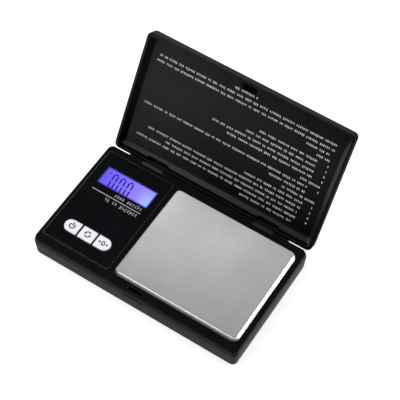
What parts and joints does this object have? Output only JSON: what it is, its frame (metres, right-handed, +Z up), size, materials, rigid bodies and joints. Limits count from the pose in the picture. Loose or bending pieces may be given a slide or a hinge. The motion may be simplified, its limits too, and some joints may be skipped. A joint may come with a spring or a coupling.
{
  "type": "digital gram scale",
  "caption": "Flat pocket balance with a hinged cover, back-lit number display, push keys and a brushed steel weighing tray on a load cell.",
  "frame": {"origin": "middle of the base's underside, on the lower case's flat bottom face; the rubber feet stand 0.5 mm below it", "axes": "+X along the long side from the display towards the tray, +Y towards the hinge, +Z up out of the tray"},
  "size_m": [0.1272, 0.117, 0.0724],
  "materials": {
    "case_black": "fine moulded texture, satin black ABS",
    "cover_black": "fine moulded texture, satin black ABS with light printing inside",
    "panel_black": "smooth satin black with a printed rule",
    "lens_clear": "clear polished acrylic",
    "lcd_blue": "back-lit blue display glass",
    "light_guide": "milky light guide",
    "rubber_black": "matt",
    "key_grey": "satin light grey with printed symbols",
    "board_green": "solder mask over glass fibre",
    "chip_black": "moulded resin",
    "load_cell_aluminium": "milled",
    "gauge_silicone": "soft white sealant",
    "zinc_steel": "zinc plated",
    "contact_steel": "nickel plated spring steel",
    "tray_steel": "fine straight brushing along the long side",
    "cell_sleeve": "printed sleeve, no marks",
    "wire_red": "insulation",
    "wire_black": "insulation"
  },
  "bodies": {
    "base": {"bottom_case": "case_black", "top_case": "case_black", "lcd_frame": "case_black", "display_panel": "panel_black", "display_lens": "lens_clear", "lcd_glass": "lcd_blue", "backlight": "light_guide", "zebra_strip": "rubber_black", "foot_1": "rubber_black", "foot_2": "rubber_black", "foot_3": "rubber_black", "foot_4": "rubber_black", "main_board": "board_green", "controller_chip": "chip_black", "tact_switch_1": "chip_black", "tact_switch_2": "chip_black", "tact_switch_3": "chip_black", "load_cell": "load_cell_aluminium", "gauge_coating": "gauge_silicone", "load_cell_screw_1": "zinc_steel", "load_cell_screw_2": "zinc_steel", "case_screw_1": "zinc_steel", "case_screw_2": "zinc_steel", "case_screw_3": "zinc_steel", "case_screw_4": "zinc_steel", "hinge_pin_left": "zinc_steel", "hinge_pin_right": "zinc_steel", "battery_spring_1": "contact_steel", "battery_spring_2": "contact_steel", "contact_negative": "contact_steel", "contact_positive": "contact_steel", "contact_link": "contact_steel", "battery_1": "cell_sleeve", "battery_2": "cell_sleeve", "battery_wire_positive": "wire_red", "battery_wire_negative": "wire_black", "load_cell_cable": "wire_black"},
    "lid": {"lid": "cover_black"},
    "platform": {"tray": "tray_steel", "tray_carrier": "case_black", "tray_screw_1": "zinc_steel", "tray_screw_2": "zinc_steel"},
    "power_key": {"button_power": "key_grey"},
    "mode_key": {"button_mode": "key_grey"},
    "tare_key": {"button_tare": "key_grey"},
    "door": {"battery_door": "case_black"}
  },
  "joints": [
    {"name": "lid_hinge", "type": "hinge", "parent": "base", "child": "lid", "pos_m": [0, 0.03612, 0.01064], "axis": [1, 0, 0], "range_deg": [0, 120]},
    {"name": "tray_deflection", "type": "slide", "parent": "base", "child": "platform", "axis": [0, 0, -1], "range_m": [0, 0.00025], "stiffness_N_per_m": 6000, "springref_m": -0.00004},
    {"name": "power_press", "type": "slide", "parent": "base", "child": "power_key", "axis": [0, 0, -1], "range_m": [0, 0.0005], "stiffness_N_per_m": 30, "springref_m": -0.00012},
    {"name": "mode_press", "type": "slide", "parent": "base", "child": "mode_key", "axis": [0, 0, -1], "range_m": [0, 0.0005], "stiffness_N_per_m": 30, "springref_m": -0.00012},
    {"name": "tare_press", "type": "slide", "parent": "base", "child": "tare_key", "axis": [0, 0, -1], "range_m": [0, 0.0005], "stiffness_N_per_m": 30, "springref_m": -0.00012},
    {"name": "door_slide", "type": "slide", "parent": "base", "child": "door", "axis": [0, 1, 0], "range_m": [0, 0.03]}
  ]
}
